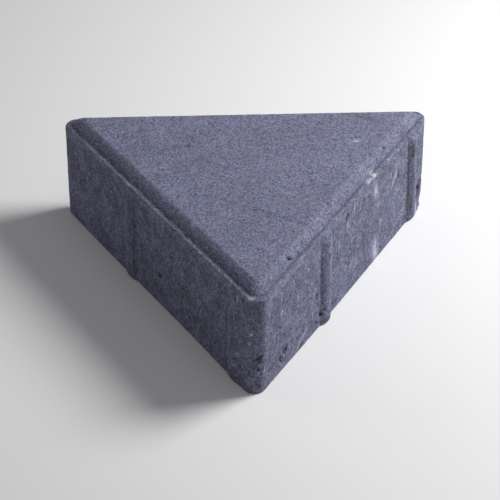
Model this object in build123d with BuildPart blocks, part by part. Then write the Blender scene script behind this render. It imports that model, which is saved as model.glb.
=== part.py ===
"""Triangular concrete paving block: pressed body, ledge, rounded-over top edge and spacer ribs."""
import os
from math import atan, degrees, sqrt

from build123d import *

# Plan and thickness, in millimetres
side_length = 200.0  # between the sharp corners of the plan
side_count = 3
thickness = 60.0
corner_radius = 6.0  # upright corners of the body

# Top edge, shaped by the press head
ledge_width = 2.4  # strip that the press head leaves all round
ledge_rounding = 1.0  # outer edge of the ledge
edge_rise = 4.0  # from the ledge up to the top face
edge_width = 6.0  # plan width of the rounded-over edge, from the ledge to the flat of the top face
edge_steep = (1.0, 1.6)  # inward and up: end of the steep foot of the edge
edge_slope = (3.2, 3.2)  # inward and up: end of its middle slope
head_corner_radius = 3.6  # corners of the raised face at the ledge
top_corner_radius = 0.9  # corners of the flat top face

# Spacer ribs, two on each side, the same way round on every side
spacer_depth = 2.0  # proud of the side
spacer_width = 12.0
spacer_top = 53.5  # where the nose runs out into the side
spacer_nose = 6.5  # height of the tapered nose
spacer_places = (75.0, 177.0)  # along each side from its first corner, going anticlockwise

# Values that follow from the sizes above
corner_distance = side_length / sqrt(3)  # centre of the plan to a sharp corner
side_distance = corner_distance / 2  # centre of the plan to a side
ledge_height = thickness - edge_rise
plan_turn = 30.0  # puts one side square to +Y and one corner on -Y
side_turn = 90.0  # direction of the first side seen from the centre
spacer_radius = (spacer_width**2 / 4 + spacer_depth**2) / (2 * spacer_depth)
spacer_axis = side_distance - (spacer_radius - spacer_depth)  # centre of the plan to a rib's axis
spacer_offsets = [(0, place - side_length / 2) for place in spacer_places]
nose_taper = degrees(atan(spacer_depth / spacer_nose))
edge_profile = ((0.0, 0.0), edge_steep, edge_slope, (edge_width, edge_rise))
corner_loss = (head_corner_radius - top_corner_radius) / edge_width  # per millimetre inward

with BuildPart() as paving_block:
    # Body up to the ledge
    with BuildSketch() as body_plan:
        RegularPolygon(corner_distance, side_count, rotation=plan_turn)
        fillet(body_plan.vertices(), corner_radius)
    extrude(amount=ledge_height)
    ledge_edges = paving_block.faces().sort_by(Axis.Z)[-1].edges()
    fillet(ledge_edges, ledge_rounding)

    # Raised face inside the ledge, rounded over from the ledge to its flat top
    for inward, up in edge_profile:
        with BuildSketch(Plane.XY.offset(ledge_height + up)) as edge_plan:
            RegularPolygon(corner_distance - 2 * (ledge_width + inward), side_count, rotation=plan_turn)
            fillet(edge_plan.vertices(), head_corner_radius - corner_loss * inward)
    loft()

    # Spacer ribs: upright rounds sunk into the sides, each with a tapered nose
    with BuildSketch() as spacer_plan:
        with PolarLocations(spacer_axis, side_count, start_angle=side_turn):
            with Locations(*spacer_offsets):
                Circle(spacer_radius)
    extrude(amount=spacer_top - spacer_nose)
    with BuildSketch(Plane.XY.offset(spacer_top - spacer_nose)) as nose_plan:
        add(spacer_plan.sketch)
    extrude(amount=spacer_nose, taper=nose_taper)

paving_block.part.label = "paving_block"

os.makedirs("parts", exist_ok=True)
export_step(paving_block.part, "parts/paving_block.step")
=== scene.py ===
"""Looks of the triangular paving block: pressed concrete with pores, worn edges and lime marks.

The block is one cast piece. Its mesh is laid out in rings that climb the side walls, cross the
ledge and go over the rounded top edge, with a fine net of triangles on the top face and on the
underside. Relief, pores and chips move the points of that mesh, and one concrete finish gives the
colour and the fine grain. Lengths are millimetres unless a name or a docstring says metres.
"""
import logging
import math
from dataclasses import dataclass, field
from enum import Enum
from itertools import chain, product

import bpy
import numpy as np
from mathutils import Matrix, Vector, kdtree
from mathutils.geometry import delaunay_2d_cdt


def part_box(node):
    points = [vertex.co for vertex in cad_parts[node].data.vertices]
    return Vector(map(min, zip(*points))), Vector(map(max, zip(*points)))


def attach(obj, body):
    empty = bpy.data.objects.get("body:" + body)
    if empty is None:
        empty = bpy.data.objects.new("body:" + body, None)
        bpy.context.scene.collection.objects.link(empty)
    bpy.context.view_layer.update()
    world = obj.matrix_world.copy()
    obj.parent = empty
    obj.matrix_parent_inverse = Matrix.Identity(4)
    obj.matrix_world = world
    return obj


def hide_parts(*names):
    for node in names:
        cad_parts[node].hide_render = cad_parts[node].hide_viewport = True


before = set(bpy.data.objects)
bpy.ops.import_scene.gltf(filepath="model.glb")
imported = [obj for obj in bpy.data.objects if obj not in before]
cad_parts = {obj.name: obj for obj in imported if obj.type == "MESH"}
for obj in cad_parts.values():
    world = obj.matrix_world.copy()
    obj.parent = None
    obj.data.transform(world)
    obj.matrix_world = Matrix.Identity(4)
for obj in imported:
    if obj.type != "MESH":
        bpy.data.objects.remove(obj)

log = logging.getLogger("paving_block")

METRE = 1000.0  # millimetres
NODE = "paving_block"


class Face(Enum):
    """A face of the block; a side's value is the direction that it faces, in degrees from +X."""

    BACK = 90.0
    LEFT = 210.0
    RIGHT = 330.0
    TOP = None

    @property
    def outward(self) -> np.ndarray:
        """Unit direction that a side faces, in plan."""
        return turned(self.value)

    @property
    def onward(self) -> np.ndarray:
        """Unit direction along a side, anticlockwise seen from above."""
        return turned(self.value + 90.0)


class StainAndPaintedLight(Enum):
    """What colours a mark: lime, which also lays painted highlights, earth, painted shade and open pits; the
    value is the name of the mesh attribute that carries it.
    """

    # Lime marks, and painted highlights laid in the same pale colour.
    LIME_AND_HIGHLIGHT = "lime"
    EARTH = "earth"
    # Painted shade in pores, in the nook of the ledge, on the foot of the rounded edge and on rib flanks.
    PAINTED_SHADE = "shade"
    PITTED = "pitted"


BACK, LEFT, RIGHT, TOP = Face
SIDES = (BACK, LEFT, RIGHT)
LIME_AND_HIGHLIGHT, EARTH, PAINTED_SHADE, PITTED = StainAndPaintedLight


def turned(degrees: float) -> np.ndarray:
    """Unit plan direction at an angle from +X."""
    return np.array([math.cos(math.radians(degrees)), math.sin(math.radians(degrees))])


def eased(share: np.ndarray) -> np.ndarray:
    """Smooth step from 0 to 1."""
    held = np.clip(share, 0.0, 1.0)
    return held * held * (3.0 - 2.0 * held)


@dataclass(frozen=True)
class Ripple:
    """One layer of relief: its height, the size of its cells and how they are stretched."""

    height: float
    size: float
    stretch: tuple[float, float, float] = (1.0, 1.0, 1.0)


class GrainField:
    """Smooth seeded noise that can be read at any point."""

    CELLS = 256
    GAIN = 1.7

    def __init__(self, seed: int) -> None:
        """Draws the lattice.

        Args:
            seed: Fixes the lattice, so that each run gives the same noise.
        """
        draw = np.random.default_rng(seed)
        slopes = draw.normal(size=(self.CELLS, 3))
        self.order = draw.permutation(self.CELLS)
        self.slopes = slopes / np.linalg.norm(slopes, axis=1, keepdims=True)

    def at(self, places: np.ndarray, ripple: Ripple) -> np.ndarray:
        """Reads one layer of relief.

        Args:
            places: Points, one per row.
            ripple: The layer.

        Returns:
            Its height at each point.
        """
        cells = places / (ripple.size * np.array(ripple.stretch))
        low = np.floor(cells).astype(int)
        inside = cells - low
        ease = inside**3 * (inside * (inside * 6.0 - 15.0) + 10.0)
        total = np.zeros(len(places))
        for corner in product((0, 1), repeat=3):
            grid = (low + corner) % self.CELLS
            key = self.order[grid[:, 0]]
            key = self.order[(key + grid[:, 1]) % self.CELLS]
            key = self.order[(key + grid[:, 2]) % self.CELLS]
            pull = ((inside - corner) * self.slopes[key]).sum(axis=1)
            total += pull * np.where(corner, ease, 1.0 - ease).prod(axis=1)
        return ripple.height * (total * self.GAIN)

    def layered(self, places: np.ndarray, ripples: tuple[Ripple, ...]) -> np.ndarray:
        """Height of several layers of relief together."""
        return sum(self.at(places, ripple) for ripple in ripples)


@dataclass(frozen=True)
class Pore:
    """A hole in the surface: on a side at (along, up), on the top face at (x, y)."""

    face: Face
    across: float
    up: float
    radius: float
    depth: float
    earth: float = 0.0


@dataclass(frozen=True)
class PoreCluster:
    """A coarse patch where the concrete did not close: many small pores around one place."""

    face: Face
    across: float
    up: float
    spread: tuple[float, float]
    count: int
    radius: float
    depth: float
    earth: float = 0.0


@dataclass(frozen=True)
class Scatter:
    """Small pores at seeded places: how many, and their least and most radius and depth."""

    count: int
    radius: tuple[float, float]
    depth: tuple[float, float]


@dataclass(frozen=True)
class Smear:
    """A soft coloured patch, as long as twice its reach each way; most are marks of the concrete, some are
    painted shade or painted highlights.
    """

    face: Face
    across: float
    up: float
    reach: tuple[float, float]
    strength: float
    stain_and_painted_light: StainAndPaintedLight = LIME_AND_HIGHLIGHT
    lean: float = 0.0


@dataclass(frozen=True)
class Lump:
    """A swelling of the surface, as long as twice its reach each way."""

    face: Face
    across: float
    up: float
    reach: tuple[float, float]
    height: float


@dataclass(frozen=True)
class SoftLip:
    """A stretch of a side where the lip of the ledge is rounded further down and in, and sags."""

    face: Face
    along: float
    reach: float
    drop: float
    inward: float
    sag: float


@dataclass(frozen=True)
class Settling:
    """A corner that moved aside while the block was fresh: all of it, or only its foot."""

    direction: float
    aside: float
    reach: float
    foot_only: bool


@dataclass(frozen=True)
class Spacer:
    """One spacer rib: its place along the side at mid height, how proud it is and how it leans."""

    place: float
    depth: float
    lean: float = 0.0


@dataclass(frozen=True)
class WearAndPaintedLight:
    """The marks on this block, placed in millimetres, and the small pores scattered over its faces; some
    smears are painted shade on rib flanks and in a hole, and some pale ones are painted highlights on rib
    edges and the lip.
    """

    lumps: tuple[Lump, ...] = (
        Lump(RIGHT, 185.4, 0.0, (3.0, 4.0), 0.75),
        Lump(RIGHT, 195.0, 0.0, (5.0, 6.0), -1.2),
        Lump(BACK, 5.0, 0.0, (5.0, 5.0), -0.7),
        Lump(LEFT, 5.0, 0.0, (6.0, 5.0), -0.2),
        Lump(BACK, 195.0, 0.0, (6.0, 5.0), -0.6),
        Lump(LEFT, 33.0, 55.0, (4.0, 1.6), 0.30),
        Lump(LEFT, 46.0, 55.2, (3.0, 1.4), 0.18),
        Lump(LEFT, 76.0, 55.2, (3.0, 1.6), 0.32),
        Lump(LEFT, 110.0, 55.2, (6.0, 1.5), 0.15),
        Lump(LEFT, 140.0, 55.2, (5.0, 1.5), 0.12),
        Lump(RIGHT, 128.0, 55.4, (4.0, 1.6), 0.25),
    )
    pores: tuple[Pore, ...] = (
        Pore(RIGHT, 97.1, 49.1, 1.3, 1.4, 0.8),
        Pore(RIGHT, 96.4, 47.6, 0.9, 1.0, 0.7),
        Pore(RIGHT, 116.0, 48.4, 1.0, 0.8, 0.6),
        Pore(RIGHT, 186.4, 12.8, 1.8, 3.2),
        Pore(RIGHT, 187.2, 15.4, 2.0, 3.4),
        Pore(RIGHT, 185.0, 10.2, 1.1, 1.4, 0.4),
        Pore(RIGHT, 190.9, 17.8, 2.2, 1.2),
        Pore(RIGHT, 1.5, 21.1, 0.9, 0.8),
        Pore(RIGHT, 3.4, 20.6, 0.9, 1.1),
        Pore(RIGHT, 5.0, 21.7, 1.0, 1.3),
        Pore(RIGHT, 7.0, 22.3, 0.9, 1.2),
        Pore(RIGHT, 5.9, 19.2, 0.8, 0.7),
        Pore(RIGHT, 2.9, 18.4, 0.8, 0.6),
        Pore(RIGHT, 8.9, 18.9, 0.9, 0.7),
        Pore(RIGHT, 12.6, 20.9, 0.8, 0.7),
        Pore(LEFT, 197.2, 20.6, 0.9, 0.9),
        Pore(RIGHT, 63.4, 22.1, 1.0, 1.2),
        Pore(RIGHT, 56.8, 24.4, 0.8, 0.8),
        Pore(RIGHT, 71.0, 8.8, 1.2, 1.2),
        Pore(RIGHT, 68.6, 6.9, 1.5, 1.6),
        Pore(RIGHT, 64.1, 4.8, 1.0, 1.0),
        Pore(RIGHT, 99.4, 18.6, 0.9, 1.1),
        Pore(RIGHT, 96.2, 21.2, 0.8, 1.0),
        Pore(LEFT, 25.5, 27.7, 2.1, 0.35),
        Pore(LEFT, 24.0, 28.4, 0.8, 0.5),
        Pore(LEFT, 26.9, 29.3, 0.8, 0.5),
        Pore(LEFT, 26.6, 26.2, 0.8, 0.5),
        Pore(LEFT, 107.2, 18.0, 1.7, 1.2),
        Pore(LEFT, 104.9, 18.4, 0.9, 0.6),
        Pore(LEFT, 187.0, 52.9, 1.1, 0.9),
        Pore(LEFT, 180.8, 50.0, 1.0, 0.8),
        Pore(LEFT, 182.3, 14.4, 0.9, 0.8),
        Pore(LEFT, 180.4, 14.2, 0.8, 0.7),
        Pore(TOP, -31.5, 21.2, 1.1, 1.3),
        Pore(TOP, -43.6, -1.1, 1.0, 0.6),
        Pore(TOP, -45.8, -7.5, 0.9, 0.6),
        Pore(TOP, 17.6, -79.2, 1.1, 1.15),
        Pore(TOP, 19.2, -78.8, 1.0, 1.0),
        Pore(TOP, 23.4, -73.8, 1.0, 0.6),
        Pore(TOP, 38.1, -35.0, 1.0, 0.8),
        Pore(TOP, 46.5, -12.4, 0.9, 0.6),
        Pore(TOP, 70.8, 16.4, 1.0, 0.8),
        Pore(TOP, 68.3, 28.3, 0.9, 0.6),
    )
    clusters: tuple[PoreCluster, ...] = (
        PoreCluster(RIGHT, 28.8, 9.4, (4.2, 4.6), 26, 0.85, 1.15),
        PoreCluster(RIGHT, 6.0, 16.0, (3.0, 4.0), 8, 0.8, 0.8),
        PoreCluster(RIGHT, 16.5, 8.0, (3.0, 3.0), 8, 0.8, 0.7),
        PoreCluster(RIGHT, 19.5, 35.5, (2.5, 4.0), 7, 0.7, 0.5),
        PoreCluster(RIGHT, 64.0, 14.0, (4.0, 9.0), 9, 0.8, 0.7),
        PoreCluster(RIGHT, 174.0, 46.5, (1.4, 7.0), 14, 0.8, 0.7, 0.6),
        PoreCluster(RIGHT, 175.3, 11.5, (1.0, 4.0), 6, 0.8, 0.6, 0.6),
        PoreCluster(LEFT, 26.5, 36.0, (4.0, 7.0), 7, 0.8, 0.4),
    )
    smears: tuple[Smear, ...] = (
        Smear(RIGHT, 128.3, 56.0, (2.2, 1.5), 1.0),
        Smear(RIGHT, 122.8, 55.6, (2.4, 0.8), 0.9),
        Smear(RIGHT, 130.2, 45.4, (1.9, 4.4), 0.85, lean=-0.1),
        Smear(RIGHT, 127.5, 50.8, (0.8, 1.6), 0.5),
        Smear(RIGHT, 155.4, 40.6, (1.1, 4.0), 0.85, lean=0.35),
        Smear(RIGHT, 152.4, 37.6, (1.0, 3.4), 0.7, lean=0.35),
        Smear(RIGHT, 182.4, 3.8, (2.0, 5.0), 0.85),
        Smear(RIGHT, 132.6, 7.0, (2.8, 6.0), 1.0, lean=-0.1),
        Smear(RIGHT, 133.0, 4.0, (1.6, 3.4), 1.3),
        Smear(RIGHT, 98.0, 43.7, (0.6, 1.6), 1.0),
        Smear(RIGHT, 105.6, 50.2, (0.7, 2.4), 0.7, lean=0.3),
        Smear(RIGHT, 88.1, 36.1, (0.6, 2.0), 0.6),
        Smear(RIGHT, 26.1, 36.9, (0.7, 1.8), 1.0, lean=0.25),
        Smear(RIGHT, 43.2, 34.3, (0.6, 2.0), 0.6),
        Smear(RIGHT, 59.0, 20.6, (0.6, 2.0), 0.6, lean=0.6),
        Smear(RIGHT, 50.7, 6.8, (0.8, 2.6), 0.9, lean=0.9),
        Smear(RIGHT, 45.5, 4.9, (0.8, 3.2), 0.85, lean=0.9),
        Smear(RIGHT, 96.6, 18.4, (1.6, 1.6), 0.45),
        # Pale band along the right lip near the front: partly worn pale, partly painted highlight on the
        # rounded lip.
        Smear(RIGHT, 17.0, 52.8, (5.0, 0.7), 0.44),
        Smear(RIGHT, 28.0, 52.4, (7.0, 0.6), 0.48),
        Smear(RIGHT, 42.0, 52.9, (7.0, 0.6), 0.40),
        Smear(RIGHT, 13.0, 51.0, (2.6, 3.4), 0.22),
        Smear(RIGHT, 30.0, 54.4, (20.0, 1.1), 0.20),
        # Middle rib of the right side: painted highlight on its crown, then painted shade at its left foot
        # and on its left flank, which faces away from the light.
        Smear(RIGHT, 77.0, 30.0, (0.9, 22.0), 0.16),
        Smear(RIGHT, 68.2, 30.0, (0.8, 33.0), 0.42, PAINTED_SHADE, lean=-0.03),
        Smear(RIGHT, 70.0, 30.0, (1.6, 30.0), 0.2, PAINTED_SHADE, lean=-0.03),
        # Rib near the back corner of the right side: painted shade at its left foot and on its left flank,
        # and a painted highlight on its crest; the earth and pits below are its own.
        Smear(RIGHT, 171.6, 30.0, (0.9, 33.0), 0.55, PAINTED_SHADE, lean=-0.06),
        Smear(RIGHT, 174.2, 29.0, (2.2, 28.0), 0.34, PAINTED_SHADE, lean=-0.06),
        Smear(RIGHT, 180.2, 27.0, (0.7, 20.0), 0.22, lean=-0.06),
        Smear(RIGHT, 173.6, 46.0, (2.2, 9.0), 0.65, EARTH, lean=-0.06),
        Smear(RIGHT, 175.0, 11.5, (2.0, 6.0), 0.6, EARTH),
        Smear(RIGHT, 173.8, 46.0, (2.4, 9.0), 1.0, PITTED, lean=-0.06),
        Smear(RIGHT, 175.3, 11.5, (1.8, 5.5), 0.95, PITTED),
        # Painted shade deepening the hole near the back corner.
        Smear(RIGHT, 186.8, 14.0, (1.7, 3.0), 1.0, PAINTED_SHADE, lean=0.3),
        Smear(RIGHT, 7.0, 20.5, (5.0, 4.0), 0.9, PITTED),
        Smear(RIGHT, 26.0, 9.0, (6.0, 6.0), 1.0, PITTED),
        Smear(RIGHT, 29.6, 9.4, (0.8, 1.6), 0.6),
        Smear(RIGHT, 25.4, 7.2, (0.7, 1.2), 0.5),
        Smear(RIGHT, 14.0, 8.5, (6.0, 5.0), 0.8, PITTED),
        Smear(RIGHT, 19.5, 35.5, (3.0, 5.0), 0.75, PITTED),
        Smear(RIGHT, 63.0, 14.0, (5.0, 11.0), 0.8, PITTED),
        Smear(RIGHT, 99.0, 18.0, (5.0, 4.0), 0.75, PITTED),
        Smear(LEFT, 26.0, 34.0, (5.0, 9.0), 0.8, PITTED),
        Smear(LEFT, 44.4, 30.6, (3.0, 3.0), 0.7, PITTED),
        Smear(LEFT, 107.0, 17.0, (4.0, 4.0), 0.7, PITTED),
        # Rib of the left side: painted highlight on its back flank, painted shade on its front flank and at
        # its front foot.
        Smear(LEFT, 74.2, 32.0, (0.8, 25.0), 0.26, lean=0.06),
        Smear(LEFT, 79.4, 30.0, (3.0, 26.0), 0.26, PAINTED_SHADE, lean=0.05),
        Smear(LEFT, 82.8, 30.0, (1.1, 25.0), 0.45, PAINTED_SHADE, lean=0.06),
        Smear(LEFT, 84.6, 49.0, (0.7, 5.0), 0.22, lean=0.06),
        Smear(LEFT, 33.0, 55.4, (4.0, 1.2), 0.22),
        Smear(LEFT, 76.0, 55.0, (2.0, 1.4), 0.25),
        # Rib near the front corner of the left side: painted shade beside it and a painted highlight on its
        # near edge.
        Smear(LEFT, 172.3, 24.0, (1.5, 19.0), 0.28, PAINTED_SHADE),
        Smear(LEFT, 175.3, 23.0, (0.8, 17.0), 0.26),
        Smear(LEFT, 182.4, 51.4, (0.8, 1.8), 0.9),
        Smear(LEFT, 191.6, 55.8, (1.6, 0.8), 0.8),
        Smear(LEFT, 194.8, 56.0, (1.4, 0.7), 0.45),
        Smear(LEFT, 194.8, 35.8, (1.2, 0.8), 1.1),
        Smear(LEFT, 192.5, 30.4, (0.8, 0.8), 0.7),
        Smear(TOP, 56.2, 21.7, (1.7, 0.9), 0.9),
        Smear(TOP, -48.7, 38.9, (0.8, 1.1), 0.25),
        Smear(TOP, -13.1, 4.2, (0.8, 0.8), 0.25),
        Smear(TOP, -44.0, 1.4, (2.2, 0.7), 0.35),
        Smear(TOP, -47.4, -3.0, (1.6, 0.7), 0.3),
        Smear(TOP, -64.7, 35.7, (2.4, 0.8), 0.25),
    )
    top_pores: Scatter = Scatter(260, (0.5, 0.9), (0.1, 0.45))
    side_pores: Scatter = Scatter(320, (0.6, 0.9), (0.2, 0.7))
    under_pores: Scatter = Scatter(400, (1.0, 2.4), (0.3, 1.4))


@dataclass(frozen=True)
class CastRelief:
    """Layers of the cast surface, and how far its faces lie below the nominal ones to leave room for them."""

    waves: Ripple = Ripple(0.10, 38.0)
    sand: tuple[Ripple, ...] = (Ripple(0.07, 1.9), Ripple(0.05, 4.1))
    streaks: tuple[Ripple, ...] = (Ripple(0.04, 1.9, (1.0, 1.0, 2.5)), Ripple(0.10, 7.0, (1.0, 1.0, 1.3)))
    coarse: tuple[Ripple, ...] = (Ripple(0.25, 3.0), Ripple(0.20, 9.0))
    bites: tuple[Ripple, ...] = (Ripple(1.0, 5.0), Ripple(0.6, 2.2))
    pitting: tuple[Ripple, ...] = (Ripple(0.38, 16.0), Ripple(0.20, 5.0))
    ragged: Ripple = Ripple(0.35, 1.6)
    top_depth: float = 0.12
    under_depth: float = 0.10
    left_depth: float = 0.06
    right_depth: float = 0.12
    foot_calm: float = 0.85
    foot_reach: float = 3.0
    foot_bite: float = 0.16
    lip_reach: float = 1.6
    lip_bite: float = 0.35
    # Depth at which a pore gets its full painted shade.
    full_painted_shade_depth: float = 1.2


@dataclass(frozen=True)
class EdgeTone:
    """How painted shade darkens the ledge's nook and the foot of the rounded-over edge, and how its rim and a
    band of that edge are paled, partly worn and partly painted highlight; pairs are for left and right.
    """

    nook_width: tuple[float, float] = (0.4, 0.6)
    nook_height: float = 0.6
    # Painted shade in the nook of the ledge and on the foot of the slope above it.
    nook_painted_shade: tuple[float, float] = (0.20, 0.52)
    slope_width: tuple[float, float] = (3.2, 1.5)
    slope_painted_shade: tuple[float, float] = (0.17, 0.10)
    # Pale rim of the lips that face left: partly worn pale, partly painted highlight.
    rim_lime_and_highlight: float = 0.15
    rim_width: float = 2.4
    rim_drop: float = 1.8
    rim_height: float = 3.6
    # Pale band on the bevel of the lit right half: partly worn pale, partly painted highlight.
    worn_lime_and_highlight: float = 0.05
    worn_highlight_inset: float = 4.8
    worn_highlight_width: float = 1.7


@dataclass(frozen=True)
class Lamp:
    """A round soft lamp that faces the block: its direction, distance and width in metres, and watts."""

    name: str
    way: tuple[float, float, float]
    distance: float
    size: float
    watts: float

    def hang(self) -> bpy.types.Object:
        """Hangs the lamp.

        Returns:
            The lamp.
        """
        data = bpy.data.lights.new(self.name, "AREA")
        data.shape = "DISK"
        data.size = self.size
        data.energy = self.watts
        towards = Vector(self.way).normalized()
        lamp = bpy.data.objects.new(self.name, data)
        lamp.location = towards * self.distance
        lamp.rotation_mode = "QUATERNION"
        lamp.rotation_quaternion = towards.to_track_quat("Z", "Y")
        bpy.context.scene.collection.objects.link(lamp)
        return lamp


@dataclass(frozen=True)
class Studio:
    """Plain pale floor, soft light and the camera; sizes are metres and angles degrees."""

    azimuth: float = -2.14
    elevation: float = 35.24
    distance: float = 1.1143
    aim: tuple[float, float, float] = (0.00070, -0.00003, 0.00806)
    lens: float = 153.58
    sensor: float = 36.0
    floor_half: float = 6.0
    floor_white: float = 0.74
    floor_roughness: float = 0.9
    floor_shine: float = 0.1
    lamps: tuple[Lamp, ...] = (
        Lamp("key_light", (0.68, 0.18, 0.71), 0.80, 0.38, 7.8),
        Lamp("over_light", (0.12, -0.32, 0.92), 1.0, 0.8, 1.05),
        Lamp("fill_light", (-0.85, 0.40, 0.30), 1.6, 1.2, 3.9),
    )
    sky_light: float = 0.12
    sky_tint: tuple[float, float, float] = (1.0, 0.95, 1.03)
    sky_seen: float = 0.85

    def floor(self) -> bpy.types.Object:
        """Lays the floor under the block.

        Returns:
            The floor.
        """
        half = self.floor_half
        mesh = bpy.data.meshes.new("studio_floor")
        corners = [(-half, -half, 0), (half, -half, 0), (half, half, 0), (-half, half, 0)]
        mesh.from_pydata(corners, [], [(0, 1, 2, 3)])
        material = bpy.data.materials.new("studio_floor")
        material.use_nodes = True
        shader = material.node_tree.nodes["Principled BSDF"]
        shader.inputs["Base Color"].default_value = (self.floor_white,) * 3 + (1.0,)
        shader.inputs["Roughness"].default_value = self.floor_roughness
        shader.inputs["Specular IOR Level"].default_value = self.floor_shine
        mesh.materials.append(material)
        floor = bpy.data.objects.new("studio_floor", mesh)
        bpy.context.scene.collection.objects.link(floor)
        return floor

    def sky(self) -> bpy.types.World:
        """Makes the dim even light of the room, which shows pale behind the block.

        Returns:
            The world.
        """
        world = bpy.data.worlds.new("studio")
        world.use_nodes = True
        nodes, links = world.node_tree.nodes, world.node_tree.links
        background = nodes["Background"]
        background.inputs["Color"].default_value = (*self.sky_tint, 1.0)
        path = nodes.new("ShaderNodeLightPath")
        strength = nodes.new("ShaderNodeMapRange")
        strength.inputs["To Min"].default_value = self.sky_light
        strength.inputs["To Max"].default_value = self.sky_seen
        links.new(path.outputs["Is Camera Ray"], strength.inputs["Value"])
        links.new(strength.outputs["Result"], background.inputs["Strength"])
        bpy.context.scene.world = world
        return world

    def camera(self) -> bpy.types.Object:
        """Sets the camera above and in front of the block, with the corner that points to -Y nearest.

        Returns:
            The camera.
        """
        data = bpy.data.cameras.new("photo_camera")
        data.lens = self.lens
        data.sensor_width = self.sensor
        turn, rise = math.radians(self.azimuth), math.radians(self.elevation)
        flat = math.cos(rise)
        back = Vector((math.sin(turn) * flat, -math.cos(turn) * flat, math.sin(rise)))
        camera = bpy.data.objects.new("photo_camera", data)
        camera.location = Vector(self.aim) + back * self.distance
        camera.rotation_mode = "QUATERNION"
        camera.rotation_quaternion = back.to_track_quat("Z", "Y")
        bpy.context.scene.collection.objects.link(camera)
        bpy.context.scene.camera = camera
        return camera

    def set_up(self) -> None:
        """Builds the floor, the lamps, the room light and the camera."""
        self.floor()
        for lamp in self.lamps:
            lamp.hang()
        self.sky()
        self.camera()
        bpy.context.scene.view_settings.view_transform = "Standard"


@dataclass(frozen=True)
class Mottle:
    """Noise turned into a factor: grain size in millimetres, finer layers and their strength, the stretch
    of noise that is used, the factors at its two ends, and how the grains are stretched."""

    size: float
    detail: float
    rough: float
    span: tuple[float, float]
    ends: tuple[float, float]
    stretch: tuple[float, float, float] | None = None


@dataclass(frozen=True)
class Specks:
    """Scattered round specks: spacing in millimetres, least and most radius in spacings, and their factor."""

    spacing: float
    least: float
    most: float
    factor: float


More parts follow.
